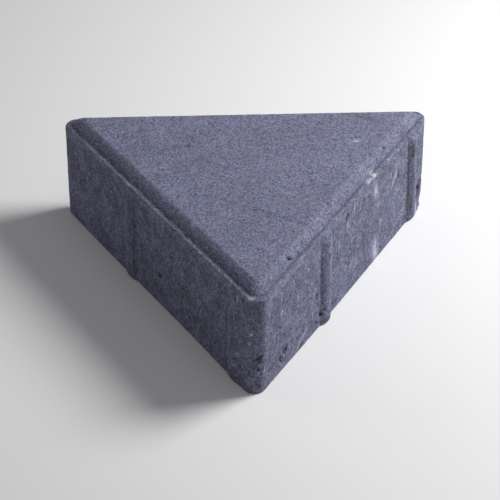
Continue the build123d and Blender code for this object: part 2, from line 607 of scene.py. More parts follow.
class NodeSheet:
    """A material's node tree with short ways to add and join nodes."""

    def __init__(self, material: bpy.types.Material) -> None:
        """Turns on the material's nodes and takes its shader.

        Args:
            material: The material to write in.
        """
        material.use_nodes = True
        self.nodes = material.node_tree.nodes
        self.links = material.node_tree.links
        self.shader = self.nodes["Principled BSDF"]
        self.places = self.nodes.new("ShaderNodeTexCoord").outputs["Object"]

    def put(self, value: object, socket: bpy.types.NodeSocket) -> None:
        """Links a socket to an input, or sets the input to a plain value."""
        if isinstance(value, bpy.types.NodeSocket):
            self.links.new(value, socket)
        else:
            socket.default_value = value

    def stretched(self, stretch: tuple[float, float, float]) -> bpy.types.NodeSocket:
        """Object coordinates in which patterns come out longer along each axis by stretch."""
        node = self.nodes.new("ShaderNodeMapping")
        node.inputs["Scale"].default_value = tuple(1.0 / part for part in stretch)
        self.put(self.places, node.inputs["Vector"])
        return node.outputs["Vector"]

    def noise(
        self, size: float, detail: float = 2.0, rough: float = 0.5, places: bpy.types.NodeSocket | None = None
    ) -> bpy.types.NodeSocket:
        """Adds noise.

        Args:
            size: Size of its grains, in millimetres.
            detail: How many finer layers it has.
            rough: How strong those layers are.
            places: Coordinates to read, or None for the object's own.

        Returns:
            The noise's value, from 0 to 1.
        """
        node = self.nodes.new("ShaderNodeTexNoise")
        node.inputs["Scale"].default_value = METRE / size
        node.inputs["Detail"].default_value = detail
        node.inputs["Roughness"].default_value = rough
        self.put(places or self.places, node.inputs["Vector"])
        return node.outputs["Fac"]

    def mottle(self, pattern: Mottle) -> bpy.types.NodeSocket:
        """Adds noise as a factor.

        Args:
            pattern: What the noise is like.

        Returns:
            The factor.
        """
        places = self.stretched(pattern.stretch) if pattern.stretch else None
        noise = self.noise(pattern.size, pattern.detail, pattern.rough, places)
        return self.ranged(noise, *pattern.span, *pattern.ends)

    def cells(self, size: float) -> bpy.types.NodeSocket:
        """Adds a field of scattered points.

        Args:
            size: Spacing of the points, in millimetres.

        Returns:
            The distance to the nearest point, in spacings.
        """
        node = self.nodes.new("ShaderNodeTexVoronoi")
        node.inputs["Scale"].default_value = METRE / size
        self.put(self.places, node.inputs["Vector"])
        return node.outputs["Distance"]

    def grains(
        self, size: float, stretch: tuple[float, float, float]
    ) -> tuple[bpy.types.NodeSocket, bpy.types.NodeSocket]:
        """Adds a packing of grains.

        Args:
            size: Size of one grain, in millimetres.
            stretch: How many times longer the grains are along each axis.

        Returns:
            Two random values per grain, each from 0 to 1.
        """
        node = self.nodes.new("ShaderNodeTexVoronoi")
        node.inputs["Scale"].default_value = METRE / size
        self.put(self.stretched(stretch), node.inputs["Vector"])
        split = self.nodes.new("ShaderNodeSeparateColor")
        self.put(node.outputs["Color"], split.inputs["Color"])
        return split.outputs["Red"], split.outputs["Green"]

    def attribute(self, name: str) -> bpy.types.NodeSocket:
        """A value that the mesh carries at its points."""
        node = self.nodes.new("ShaderNodeAttribute")
        node.attribute_name = name
        return node.outputs["Fac"]

    def ranged(
        self, value: bpy.types.NodeSocket, low: float, high: float, to_low: float, to_high: float
    ) -> bpy.types.NodeSocket:
        """Maps a stretch of values onto another, held at both ends.

        Args:
            value: What to map.
            low: Start of the stretch.
            high: End of the stretch.
            to_low: Result at the start.
            to_high: Result at the end.

        Returns:
            The mapped value.
        """
        node = self.nodes.new("ShaderNodeMapRange")
        self.put(value, node.inputs["Value"])
        for name, number in (("From Min", low), ("From Max", high), ("To Min", to_low), ("To Max", to_high)):
            node.inputs[name].default_value = number
        return node.outputs["Result"]

    def sum(self, operation: str, first: object, second: object) -> bpy.types.NodeSocket:
        """One step of arithmetic on two values."""
        node = self.nodes.new("ShaderNodeMath")
        node.operation = operation
        self.put(first, node.inputs[0])
        self.put(second, node.inputs[1])
        return node.outputs["Value"]

    def blend(self, share: object, first: object, second: object, kind: str = "MIX") -> bpy.types.NodeSocket:
        """Blends two colours.

        Args:
            share: How much of the second there is.
            first: First colour.
            second: Second colour.
            kind: Blender's name for the way of blending.

        Returns:
            The blended colour.
        """
        node = self.nodes.new("ShaderNodeMix")
        node.data_type = "RGBA"
        node.blend_type = kind
        self.put(share, node.inputs[0])
        self.put(first, node.inputs[6])
        self.put(second, node.inputs[7])
        return node.outputs[2]

    def grey(self, value: bpy.types.NodeSocket) -> bpy.types.NodeSocket:
        """A value as a grey colour."""
        node = self.nodes.new("ShaderNodeCombineColor")
        for part in node.inputs:
            self.put(value, part)
        return node.outputs["Color"]

    def times(self, colour: bpy.types.NodeSocket, factor: bpy.types.NodeSocket) -> bpy.types.NodeSocket:
        """A colour multiplied by a value."""
        return self.blend(1.0, colour, self.grey(factor), "MULTIPLY")

    def bump(self, height: bpy.types.NodeSocket, depth: float, strength: float) -> bpy.types.NodeSocket:
        """Adds fine relief.

        Args:
            height: The relief, from 0 to 1.
            depth: Its depth, in millimetres.
            strength: How much of it shows.

        Returns:
            The normal to shade with.
        """
        node = self.nodes.new("ShaderNodeBump")
        node.inputs["Distance"].default_value = depth / METRE
        node.inputs["Strength"].default_value = strength
        self.put(height, node.inputs["Height"])
        return node.outputs["Normal"]


@dataclass(frozen=True)
class ConcreteFinishAndPaintedLight:
    """Dark blue-grey pressed concrete: sandy top face, drawn and streaked sides, lime and earth marks, and
    the painted shade and painted highlights that the mesh carries.
    """

    cool: tuple[float, float, float] = (0.137, 0.145, 0.223)
    warm: tuple[float, float, float] = (0.148, 0.150, 0.218)
    # Pale lime colour: real lime marks, and painted highlights on rib edges, the lip and the lit bevel.
    lime: tuple[float, float, float] = (0.53, 0.55, 0.63)
    earth: tuple[float, float, float] = (0.082, 0.066, 0.068)
    blue_grain: tuple[float, float, float] = (0.90, 0.99, 1.06)
    red_grain: tuple[float, float, float] = (1.10, 1.01, 0.94)
    clouds: Mottle = Mottle(7.0, 3.0, 0.6, (0.35, 0.65), (0.0, 1.0))
    body: Mottle = Mottle(24.0, 3.0, 0.55, (0.3, 0.7), (0.92, 1.08))
    grain_size: float = 0.792
    grain_stretch: tuple[float, float, float] = (0.82, 1.15, 1.0)
    grain_contrast: tuple[float, float] = (0.60, 1.40)
    fine: Mottle = Mottle(0.72, 1.0, 0.5, (0.3, 0.7), (0.78, 1.27), (0.82, 1.15, 1.0))
    pepper: Specks = Specks(1.5, 0.16, 0.34, 0.28)
    salt: Specks = Specks(2.3, 0.06, 0.21, 1.55)
    streak: Mottle = Mottle(1.7, 2.0, 0.5, (0.3, 0.7), (0.95, 1.05), (1.0, 1.0, 3.0))
    blotch: Mottle = Mottle(8.0, 4.0, 0.65, (0.32, 0.68), (0.66, 1.27))
    fleck: Mottle = Mottle(1.5, 1.0, 0.5, (0.61, 0.72), (1.0, 1.6), (1.0, 1.0, 2.2))
    patchy: Mottle = Mottle(1.1, 3.0, 0.7, (0.36, 0.58), (0.3, 1.0))
    pit_spacing: float = 1.9
    pit_reach: float = 0.52
    # Painted shade in the small open pits.
    pit_painted_shade: float = 0.3
    pit_patches: Mottle = Mottle(3.4, 1.0, 0.5, (0.35, 0.6), (0.45, 1.0))
    # Darkest painted shade, where a point's shade value is full.
    darkest_painted_shade: float = 0.08
    rough: Mottle = Mottle(3.0, 2.0, 0.5, (0.3, 0.7), (0.82, 0.96))
    shine: float = 0.28
    relief_sizes: tuple[float, float] = (0.72, 1.872)
    relief_depth: float = 0.35
    relief_strength: float = 0.6

    def material(self) -> bpy.types.Material:
        """Writes the material.

        Returns:
            The concrete.
        """
        material = bpy.data.materials.new("pressed_concrete")
        sheet = NodeSheet(material)
        colour = self.stained_and_painted_light(sheet, self.streaked(sheet, self.sanded(sheet, self.tint(sheet))))
        sheet.put(colour, sheet.shader.inputs["Base Color"])
        sheet.put(sheet.mottle(self.rough), sheet.shader.inputs["Roughness"])
        sheet.shader.inputs["Specular IOR Level"].default_value = self.shine
        sheet.put(self.relief(sheet), sheet.shader.inputs["Normal"])
        return material

    def tint(self, sheet: NodeSheet) -> bpy.types.NodeSocket:
        """Body colour, cooler and warmer in clouds.

        Args:
            sheet: The material's nodes.

        Returns:
            The colour.
        """
        colour = sheet.blend(sheet.mottle(self.clouds), (*self.cool, 1.0), (*self.warm, 1.0))
        return sheet.times(colour, sheet.mottle(self.body))

    def sanded(self, sheet: NodeSheet, colour: bpy.types.NodeSocket) -> bpy.types.NodeSocket:
        """Adds the grains of the sand with their own tints, and its salt and pepper.

        Args:
            sheet: The material's nodes.
            colour: Body colour.

        Returns:
            The colour.
        """
        bright, hue = sheet.grains(self.grain_size, self.grain_stretch)
        tint = sheet.blend(hue, (*self.blue_grain, 1.0), (*self.red_grain, 1.0))
        colour = sheet.blend(1.0, colour, tint, "MULTIPLY")
        grains = sheet.ranged(bright, 0.0, 1.0, *self.grain_contrast)
        grains = sheet.sum("MULTIPLY", grains, sheet.mottle(self.fine))
        for specks in (self.pepper, self.salt):
            grains = sheet.sum("MULTIPLY", grains, self.specked(sheet, specks))
        return sheet.times(colour, grains)

    def streaked(self, sheet: NodeSheet, colour: bpy.types.NodeSocket) -> bpy.types.NodeSocket:
        """Adds the streaks, blotches and pale flecks of the sides that the mould has drawn.

        Args:
            sheet: The material's nodes.
            colour: Sanded colour.

        Returns:
            The colour.
        """
        drawn = sheet.attribute("drawn")
        for pattern in (self.streak, self.blotch, self.fleck):
            colour = sheet.times(colour, self.faded(sheet, drawn, sheet.mottle(pattern)))
        return colour

    def faded(
        self, sheet: NodeSheet, share: bpy.types.NodeSocket, factor: bpy.types.NodeSocket
    ) -> bpy.types.NodeSocket:
        """A factor that fades to 1 where its share is 0."""
        return sheet.sum("ADD", 1.0, sheet.sum("MULTIPLY", share, sheet.sum("SUBTRACT", factor, 1.0)))

    def specked(self, sheet: NodeSheet, specks: Specks) -> bpy.types.NodeSocket:
        """Scattered round specks that come larger and smaller in patches.

        Args:
            sheet: The material's nodes.
            specks: What they are like.

        Returns:
            The specks' factor inside a speck and 1 outside.
        """
        radius = sheet.ranged(sheet.noise(specks.spacing * 3.0), 0.35, 0.65, specks.least, specks.most)
        inside = sheet.sum("SUBTRACT", radius, sheet.cells(specks.spacing))
        return sheet.ranged(sheet.ranged(inside, 0.0, 0.10, 0.0, 1.0), 0.0, 1.0, 1.0, specks.factor)

    def pits(self, sheet: NodeSheet) -> bpy.types.NodeSocket:
        """Small open pits of the coarse patches, from 0 to 1."""
        reach = sheet.ranged(sheet.attribute(PITTED.value), 0.0, 1.0, 0.0, self.pit_reach)
        reach = sheet.sum("MULTIPLY", reach, sheet.mottle(self.pit_patches))
        return sheet.ranged(sheet.sum("SUBTRACT", reach, sheet.cells(self.pit_spacing)), 0.0, 0.12, 0.0, 1.0)

    def stained_and_painted_light(self, sheet: NodeSheet, colour: bpy.types.NodeSocket) -> bpy.types.NodeSocket:
        """Adds lime and earth, with painted highlights laid in the lime colour, and darkens with painted
        shade the pores, the ledge's nook, the rib flanks and the small pits.

        Args:
            sheet: The material's nodes.
            colour: Sanded and streaked colour.

        Returns:
            The colour.
        """
        patchy = sheet.mottle(self.patchy)
        for stain_and_painted_light, tint in ((LIME_AND_HIGHLIGHT, self.lime), (EARTH, self.earth)):
            share = sheet.sum("MULTIPLY", sheet.attribute(stain_and_painted_light.value), patchy)
            colour = sheet.blend(share, colour, (*tint, 1.0))
        # Painted shade from the mesh, and painted shade in the small pits.
        shade = sheet.ranged(sheet.attribute(PAINTED_SHADE.value), 0.0, 1.0, 1.0, self.darkest_painted_shade)
        pits = sheet.ranged(self.pits(sheet), 0.0, 1.0, 1.0, self.pit_painted_shade)
        return sheet.times(colour, sheet.sum("MULTIPLY", shade, pits))

    def relief(self, sheet: NodeSheet) -> bpy.types.NodeSocket:
        """Fine grain that is too small for the mesh.

        Args:
            sheet: The material's nodes.

        Returns:
            The normal to shade with.
        """
        small, large = self.relief_sizes
        grain = sheet.sum("ADD", sheet.noise(small, 2.0, 0.6), sheet.noise(large, 1.0, 0.5))
        height = sheet.sum("SUBTRACT", sheet.sum("MULTIPLY", grain, 0.5), self.pits(sheet))
        return sheet.bump(height, self.relief_depth, self.relief_strength)


@dataclass
class Shell:
    """The block's points and faces while they are worked on."""

    places: list[np.ndarray] = field(default_factory=list)
    facings: list[np.ndarray] = field(default_factory=list)
    drawn: list[np.ndarray] = field(default_factory=list)
    faces: list[tuple[int, ...]] = field(default_factory=list)
    spots: list[list[tuple[float, float]]] = field(default_factory=list)

    @property
    def size(self) -> int:
        """How many points there are so far."""
        return sum(len(part) for part in self.places)

    def add(self, places: np.ndarray, facings: np.ndarray, drawn: float) -> np.ndarray:
        """Adds points.

        Args:
            places: Where they are.
            facings: Which way the surface faces there.
            drawn: How far the mould has drawn the surface there, from 0 to 1.

        Returns:
            The new points' numbers.
        """
        first = self.size
        self.places.append(places)
        self.facings.append(facings)
        self.drawn.append(np.full(len(places), drawn))
        return np.arange(first, first + len(places))


@dataclass
class PavingBlock:
    """The cast block: nominal sizes in millimetres, and the methods that make and dress its mesh."""

    side_distance: float
    thickness: float
    corner_radius: float = 6.0
    foot_radius: float = 0.6
    lip_radius: float = 0.9
    soft_lips: tuple[SoftLip, ...] = (
        SoftLip(LEFT, 21.0, 26.0, 2.0, 1.1, 0.7),
        SoftLip(LEFT, 2.0, 14.0, 1.4, 0.6, 0.1),
        SoftLip(LEFT, 105.0, 90.0, 0.7, 0.1, 0.35),
        SoftLip(RIGHT, 25.0, 24.0, 1.8, 0.5, 0.1),
        SoftLip(RIGHT, 100.0, 90.0, 0.4, 0.4, 0.0),
    )
    ledge_inset: float = 2.275
    head_shift: tuple[float, float] = (0.45, 0.40)
    edge_rise: float = 4.0
    edge_width: float = 6.0
    edge_tilts: tuple[tuple[float, float], ...] = (
        (0.0, 62.0),
        (0.12, 45.0),
        (0.78, 32.0),
        (0.92, 23.0),
        (1.0, 0.0),
    )
    edge_steps: int = 13
    edge_samples: int = 241
    nook_depth: tuple[float, float] = (0.105, 0.35)
    groove_width: float = 0.22
    groove_tilt: float = 80.0
    head_corner_radius: float = 4.8
    top_corner_radius: float = 1.2
    settlings: tuple[Settling, ...] = (
        Settling(270.0, -1.0, 35.0, True),
        Settling(150.0, 0.5, 24.0, False),
    )
    spacer_depth: float = 2.0
    spacer_width: float = 12.0
    spacer_top: float = 54.6
    spacer_nose: float = 4.6
    spacers: tuple[tuple[Spacer, ...], ...] = (
        (Spacer(75.0, 1.9), Spacer(177.0, 1.9)),
        (Spacer(79.2, 1.3, 0.04), Spacer(179.2, 0.85)),
        (Spacer(73.8, 1.95), Spacer(176.6, 1.6, -0.05)),
    )
    column_steps: tuple[float, ...] = (1.7, 0.64, 0.64)
    row_step: float = 0.72
    top_step: float = 1.05
    under_step: float = 2.2
    net_jitter: float = 0.22
    net_side_gap: float = 0.7
    net_tip_gap: float = 0.9
    under_lift: float = 170.0
    seed: int = 41

    @classmethod
    def from_frame(cls, low: Vector, high: Vector) -> "PavingBlock":
        """Reads the main sizes from the node's box, in metres.

        Args:
            low: Lowest corner of the node.
            high: Highest corner of the node.

        Returns:
            The block, with its other sizes as they stand in this class.
        """
        deep = (high.y - low.y) * METRE
        side_distance = (deep - cls.spacer_depth + cls.corner_radius) / 3.0
        return cls(side_distance=side_distance, thickness=(high.z - low.z) * METRE)

    @property
    def half_side(self) -> float:
        """Half of a side, to the sharp corner."""
        return self.side_distance * math.sqrt(3.0)

    @property
    def ledge_height(self) -> float:
        """Height of the ledge above the underside."""
        return self.thickness - self.edge_rise

    @property
    def bends(self) -> int:
        """How many points of a ring go round one corner."""
        return round(self.corner_radius * math.radians(120.0) / self.row_step)

    def columns(self, place: int) -> int:
        """How many points of a ring one side has, with the corner after it."""
        full = self.half_side - self.corner_radius * math.sqrt(3.0)
        return round(2.0 * full / self.column_steps[place]) + self.bends

    def outline(self, inset: float, radius: float) -> tuple[np.ndarray, np.ndarray, np.ndarray]:
        """One ring of the plan, anticlockwise, with the same columns for every inset.

        Args:
            inset: How far the ring lies inside the sides.
            radius: Radius of its corners.

        Returns:
            Its points, the directions that it faces, and how far along the first, second or third side
            each point is (one column per side, with values outside every rib elsewhere).
        """
        half = (self.side_distance - inset) * math.sqrt(3.0) - radius * math.sqrt(3.0)
        full = self.half_side - self.corner_radius * math.sqrt(3.0)
        bends = self.bends
        points, facings = [], []
        along = np.full((sum(self.columns(k) for k in range(len(SIDES))), len(SIDES)), -self.half_side)
        first = 0
        for place, side in enumerate(SIDES):
            columns = self.columns(place) - bends
            run = np.linspace(-1.0, 1.0, columns)
            flat = side.outward * (self.side_distance - inset)
            points.append(flat + np.outer(run * half, side.onward))
            facings.append(np.tile(side.outward, (columns, 1)))
            along[first:first + columns, place] = run * full + self.half_side
            first += columns + bends
            hub = side.outward * (self.side_distance - inset - radius) + side.onward * half
            bend = np.array([turned(side.value + 120.0 * k / (bends + 1)) for k in range(1, bends + 1)])
            points.append(hub + radius * bend)
            facings.append(bend)
        return np.vstack(points), np.vstack(facings), along

    def rib(self, along: np.ndarray, up: np.ndarray) -> np.ndarray:
        """How far the spacer ribs stand proud.

        Args:
            along: Places along the three sides, one column per side.
            up: Heights above the underside.

        Returns:
            The ribs' depth at each place.
        """
        nose = np.clip((up - self.spacer_top + self.spacer_nose) / self.spacer_nose, 0.0, 1.0)
        proud = np.zeros(len(along))
        for side, ribs in enumerate(self.spacers):
            for rib in ribs:
                radius = (self.spacer_width**2 / 4.0 + rib.depth**2) / (2.0 * rib.depth)
                aside = along[:, side] - rib.place - rib.lean * (up - self.thickness / 2.0)
                chord = np.clip((radius - rib.depth * nose) ** 2 - aside**2, 0.0, None)
                proud = np.maximum(proud, np.sqrt(chord) - radius + rib.depth)
        return proud

    def edge_rings(self) -> list[tuple[float, float, float]]:
        """Rings of the rounded-over edge, from the ledge up to the flat of the top face.

        Returns:
            For each ring how far inward of the nook it lies, its height above the ledge and its tilt.
        """
        share = np.linspace(0.0, 1.0, self.edge_samples)
        tilt = np.interp(share, *zip(*self.edge_tilts))
        inward = np.concatenate([[0.0], np.cumsum(np.cos(np.radians(tilt[1:])))])
        up = np.concatenate([[0.0], np.cumsum(np.sin(np.radians(tilt[1:])))])
        inward *= self.edge_width / inward[-1]
        up *= self.edge_rise / up[-1]
        picked = np.linspace(0, self.edge_samples - 1, self.edge_steps).astype(int)
        return [(inward[k], up[k], 90.0 - tilt[k]) for k in picked]

    def soft(self, plan: np.ndarray) -> np.ndarray:
        """How much further the lip is rounded.

        Args:
            plan: Places on the outer ring.

        Returns:
            Three rows: how much further down, how much further in and how far it sags, at each place.
        """
        most = np.zeros((3, len(plan)))
        for lip in self.soft_lips:
            place = lip.face.outward * self.side_distance + lip.face.onward * (lip.along - self.half_side)
            share = np.exp(-((np.linalg.norm(plan - place, axis=1) / lip.reach) ** 2))
            most = np.maximum(most, np.outer((lip.drop, lip.inward, lip.sag), share))
        return most

    def sunny(self, plan: np.ndarray) -> np.ndarray:
        """Share of the right-hand half of the plan, from 0 to 1."""
        return eased(plan @ (RIGHT.outward - LEFT.outward) / 60.0 + 0.5)

    def across(self, plan: np.ndarray, ends: tuple[float, float]) -> np.ndarray:
        """A value that goes from its left end to its right end over the plan."""
        return ends[0] + (ends[1] - ends[0]) * self.sunny(plan)

    def leaned(self, places: np.ndarray) -> np.ndarray:
        """Moves the settled corners.

        Args:
            places: Points of the block.

        Returns:
            The moved points.
        """
        moved = places.copy()
        for corner in self.settlings:
            hub = turned(corner.direction) * 2.0 * (self.side_distance - self.corner_radius)
            share = np.exp(-((np.linalg.norm(places[:, :2] - hub, axis=1) / corner.reach) ** 2))
            if corner.foot_only:
                share = share * np.clip(1.0 - places[:, 2] / self.ledge_height, 0.0, 1.0)
            moved[:, 0] += corner.aside * share
        return moved

    def net(self, shell: Shell, ring: np.ndarray, level: float, up: float, step: float) -> None:
        """Fills the inside of a ring with an even net of triangles.

        Args:
            shell: Where to add the net; it holds the ring already.
            ring: Numbers of the ring's points.
            level: Height of the net.
            up: 1 for a face that looks up, -1 for one that looks down.
            step: Length of the net's sides.
        """
        rim = np.vstack(shell.places)[ring][:, :2]
        draw = np.random.default_rng(self.seed)
        low, high = rim.min(axis=0), rim.max(axis=0)
        rows = []
        for k, y in enumerate(np.arange(low[1] + step, high[1], step * math.sqrt(0.75))):
            x = np.arange(low[0] + step * (0.5 if k % 2 else 0.0), high[0], step)
            rows.append(np.c_[x, np.full(len(x), y)])
        inner = np.vstack(rows)
        inner += draw.uniform(-self.net_jitter, self.net_jitter, inner.shape) * step
        for side in SIDES:
            out, bound = inner @ side.outward, rim @ side.outward
            clear_of_side = bound.max() - out > step * self.net_side_gap
            clear_of_tip = out - bound.min() > step * self.net_tip_gap
            inner = inner[clear_of_side & clear_of_tip]
        points = [Vector(p) for p in np.vstack([rim, inner])]
        filled = delaunay_2d_cdt(points, [], [list(range(len(rim)))], 1, 1e-6)
        first = np.c_[inner, np.full(len(inner), level)]
        numbers = np.concatenate([ring, shell.add(first, np.tile((0.0, 0.0, up), (len(inner), 1)), 0.0)])
        source = [group[0] for group in filled[3]]
        for face in filled[2]:
            corners = [source[k] for k in face]
            flat = [points[k] for k in corners]
            if (flat[1] - flat[0]).cross(flat[2] - flat[0]) * up < 0.0:
                corners.reverse()
            shell.faces.append(tuple(int(numbers[k]) for k in corners))
            shell.spots.append([self.flat_spot(points[k], up) for k in corners])

    def flat_spot(self, point: Vector, up: float) -> tuple[float, float]:
        """Where a point of the top face or of the underside lies on the map."""
        return (point.x, point.y) if up > 0.0 else (point.x, self.under_lift - point.y)

    def wall(self, shell: Shell) -> list[np.ndarray]:
        """Lays the wall's rings, from the underside over the foot, the wall and the lip.

        Args:
            shell: Where to add them.

        Returns:
            The rings' point numbers.
        """
        outer, facing, along = self.outline(0.0, self.corner_radius)
        drop, inward, sag = self.soft(outer)
        foot, lip = self.foot_radius, self.lip_radius
        rows = [(foot, 0.0, tilt) for tilt in (-90.0, -60.0, -30.0)]
        count = round((self.ledge_height - lip - foot) / self.row_step)
        rows += [(0.0, k / count, 0.0) for k in range(count)]
        rows += [(lip, 1.0, tilt) for tilt in (0.0, 18.0, 36.0, 54.0, 72.0, 90.0)]
        rings = []
        for radius, share, tilt in rows:
            lean = math.radians(tilt)
            top = 1.0 if share == 1.0 else 0.0
            inset = (radius + inward * top) * (1.0 - math.cos(lean))
            up = foot + (self.ledge_height - lip - drop - sag - foot) * share
            up = up + (radius + drop * top) * math.sin(lean)
            plan = outer + facing * (self.rib(along, up) - inset)[:, None]
            rings.append(self.ring(shell, plan, facing, up, tilt, 1.0 if abs(tilt) < 40.0 else 0.5))
        return rings

    def surface(self) -> Shell:
        """Lays out the nominal surface: walls, ledge, rounded-over edge, top face and underside.

        Returns:
            The shell.
        """
        shell = Shell()
        rings = self.wall(shell)
        nook = self.ledge_inset
        groove = nook - self.groove_width
        plan, facing, _ = self.outline(groove, self.head_corner_radius + nook - groove)
        plan = plan + self.head_shift
        level = self.ledge_height - self.across(plan, self.nook_depth)
        rings.append(self.ring(shell, plan, facing, level, self.groove_tilt, 0.3))
        loss = (self.head_corner_radius - self.top_corner_radius) / self.edge_width
        for inward, up, tilt in self.edge_rings():
            plan, facing, _ = self.outline(nook + inward, self.head_corner_radius - loss * inward)
            plan = plan + self.head_shift
            level = np.full(len(plan), self.ledge_height + up)
            rings.append(self.ring(shell, plan, facing, level, tilt, 0.0))
        self.skin(shell, rings)
        self.net(shell, rings[-1], self.thickness, 1.0, self.top_step)
        self.net(shell, rings[0], 0.0, -1.0, self.under_step)
        return shell

    def ring(
        self, shell: Shell, plan: np.ndarray, facing: np.ndarray, up: np.ndarray, tilt: float, drawn: float
    ) -> np.ndarray:
        """Adds one ring to the shell.

        Args:
            shell: Where to add it.
            plan: Its points in plan.
            facing: The directions that it faces in plan.
            up: Its height at each point.
            tilt: Degrees that its surface is tilted from facing out towards facing up.
            drawn: How far the mould has drawn the surface there.

        Returns:
            The ring's point numbers.
        """
        lean = math.radians(tilt)
        facings = np.c_[facing * math.cos(lean), np.full(len(plan), math.sin(lean))]
        return shell.add(np.c_[plan, up], facings, drawn)

    def skin(self, shell: Shell, rings: list[np.ndarray]) -> None:
        """Joins the rings with quads, and gives each side a strip of the map.

        Args:
            shell: Where to add the quads.
            rings: Point numbers of the rings, from the underside up.
        """
        places = np.vstack(shell.places)
        count = len(rings[0])
        starts = np.cumsum([0] + [self.columns(k) for k in range(len(SIDES))])
        middle = (starts[1] + starts[2]) // 2
        rise = np.zeros(len(rings))
        for k in range(1, len(rings)):
            rise[k] = rise[k - 1] + np.linalg.norm(places[rings[k][middle]] - places[rings[k - 1][middle]])
        for k in range(len(rings) - 1):
            low, high = rings[k], rings[k + 1]
            for j in range(count):
                n = (j + 1) % count
                shell.faces.append((int(low[j]), int(low[n]), int(high[n]), int(high[j])))
                part = int(np.searchsorted(starts, j, side="right")) - 1
                u = (j - starts[part]) * self.column_steps[part]
                w = u + self.column_steps[part]
                shell.spots.append(
                    [(u, rise[k], part), (w, rise[k], part), (w, rise[k + 1], part), (u, rise[k + 1], part)]
                )


